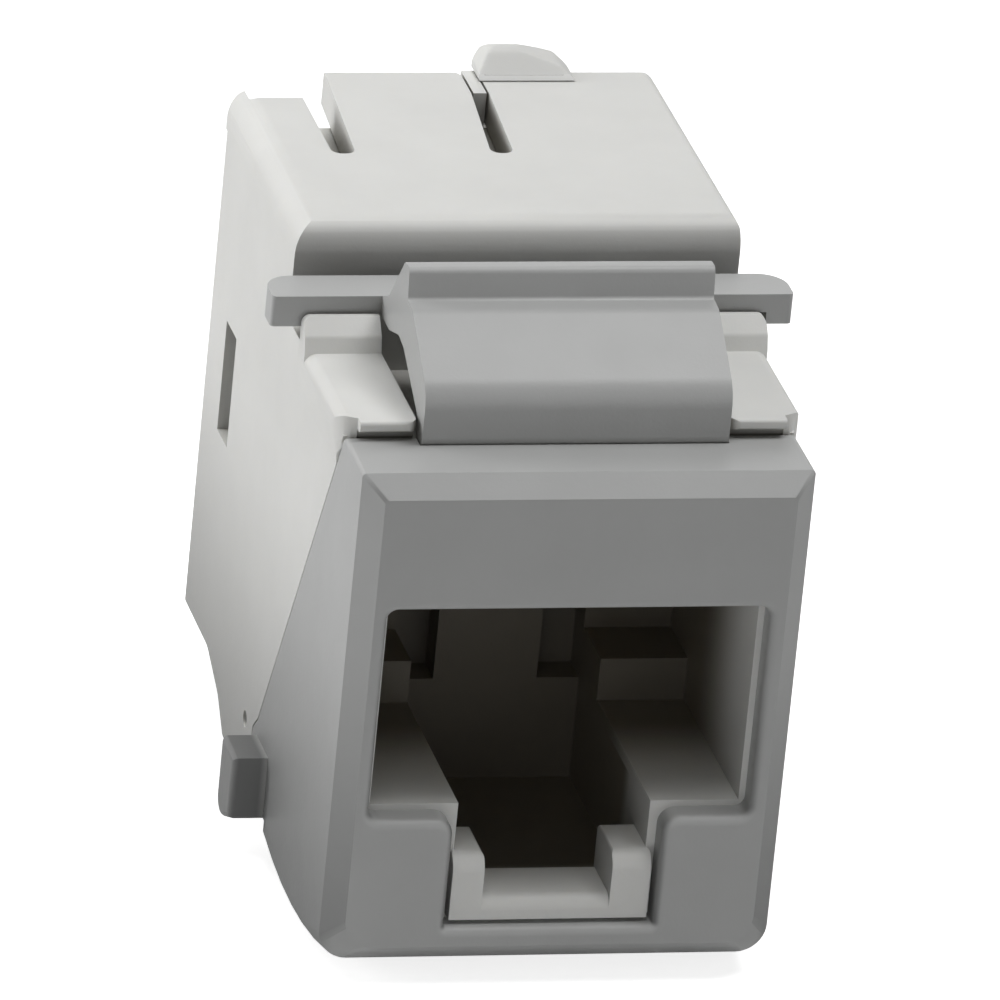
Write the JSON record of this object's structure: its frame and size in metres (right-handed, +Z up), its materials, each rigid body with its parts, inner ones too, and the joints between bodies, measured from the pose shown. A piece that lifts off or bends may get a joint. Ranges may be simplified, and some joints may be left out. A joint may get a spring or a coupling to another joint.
{
  "type": "keystone jack",
  "caption": "Snap-in keystone jack: a grey bezel with a sprung latch round a light-grey modular socket housing, with a slide-on wire cap at the rear.",
  "frame": {"origin": "middle of the bezel's front face, where the face crosses the port's centre plane", "axes": "+X to the right seen from the front, +Y from the bezel's face into the panel, +Z up towards the latch"},
  "size_m": [0.0168, 0.0252, 0.0216],
  "materials": {
    "grey_plastic": "satin",
    "light_plastic": "satin",
    "carrier_plastic": "satin",
    "board": "gloss",
    "contact_metal": "polished",
    "terminal_metal": "satin"
  },
  "bodies": {
    "body": {"front_frame": "grey_plastic", "jack_housing": "light_plastic", "contact_carrier": "carrier_plastic", "circuit_board": "board", "terminal_block": "light_plastic", "contact_spring_1": "contact_metal", "contact_spring_2": "contact_metal", "contact_spring_3": "contact_metal", "contact_spring_4": "contact_metal", "contact_spring_5": "contact_metal", "contact_spring_6": "contact_metal", "contact_spring_7": "contact_metal", "contact_spring_8": "contact_metal", "terminal_1": "terminal_metal", "terminal_2": "terminal_metal", "terminal_3": "terminal_metal", "terminal_4": "terminal_metal", "terminal_5": "terminal_metal", "terminal_6": "terminal_metal", "terminal_7": "terminal_metal", "terminal_8": "terminal_metal"},
    "latch": {"latch": "grey_plastic"},
    "cap": {"wire_cap": "light_plastic"}
  },
  "joints": [
    {"name": "latch_press", "type": "hinge", "parent": "body", "child": "latch", "pos_m": [0, 0.00315, 0.00857], "axis": [-1, 0, 0], "range_deg": [0, 8.5], "stiffness_Nm_per_rad": 0.02},
    {"name": "cap_pull", "type": "slide", "parent": "body", "child": "cap", "axis": [0, 1, 0], "range_m": [0, 0.012]}
  ]
}
